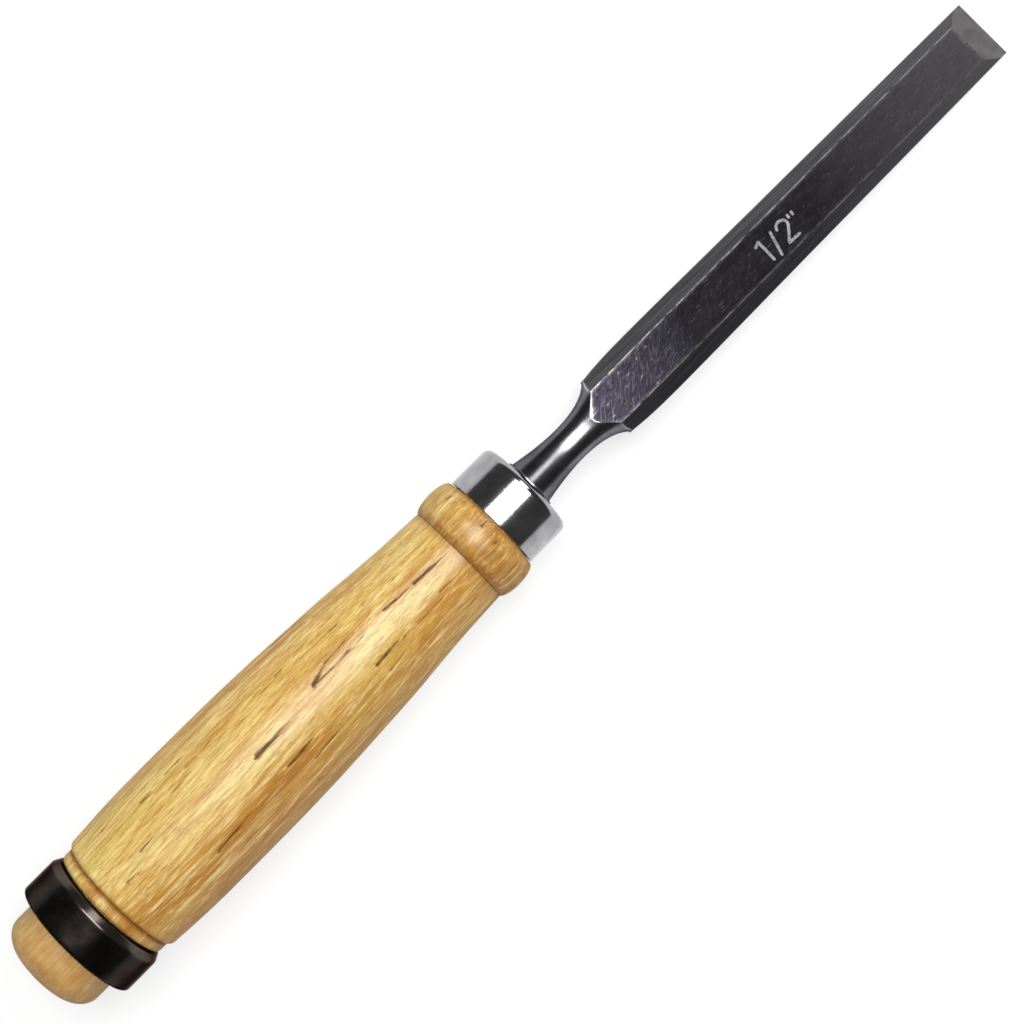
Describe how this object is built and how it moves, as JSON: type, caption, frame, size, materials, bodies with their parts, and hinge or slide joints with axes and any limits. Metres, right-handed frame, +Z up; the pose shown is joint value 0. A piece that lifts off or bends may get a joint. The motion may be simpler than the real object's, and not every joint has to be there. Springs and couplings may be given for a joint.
{
  "type": "bench chisel",
  "caption": "Bevel-edge wood chisel: a tapered steel blade with neck and tang, a bright ferrule, a turned hardwood handle with a bead, and a dark hoop that takes the mallet.",
  "frame": {"origin": "middle of the footprint, on the surface that the chisel lies on", "axes": "+X along the tool from the struck end to the cutting edge, +Z up, with the bevelled face of the blade upwards; the tool's own axis slopes down towards the edge by 3.6 degrees, because it rests on the handle's bead and on the cutting edge"},
  "size_m": [0.2464, 0.027, 0.0309],
  "materials": {
    "forged_steel": "dark forge scale on the top face, polished on the neck, ground paler towards the cutting edge",
    "bright_steel": "polished bright, with faint turning lines",
    "lacquered_wood": "honey coloured open-grained hardwood under clear lacquer",
    "blackened_steel": "glossy black oxide, worn brighter on the edges"
  },
  "bodies": {
    "root": {"blade": "forged_steel", "ferrule": "bright_steel", "handle": "lacquered_wood", "striking_hoop": "blackened_steel"}
  },
  "joints": []
}
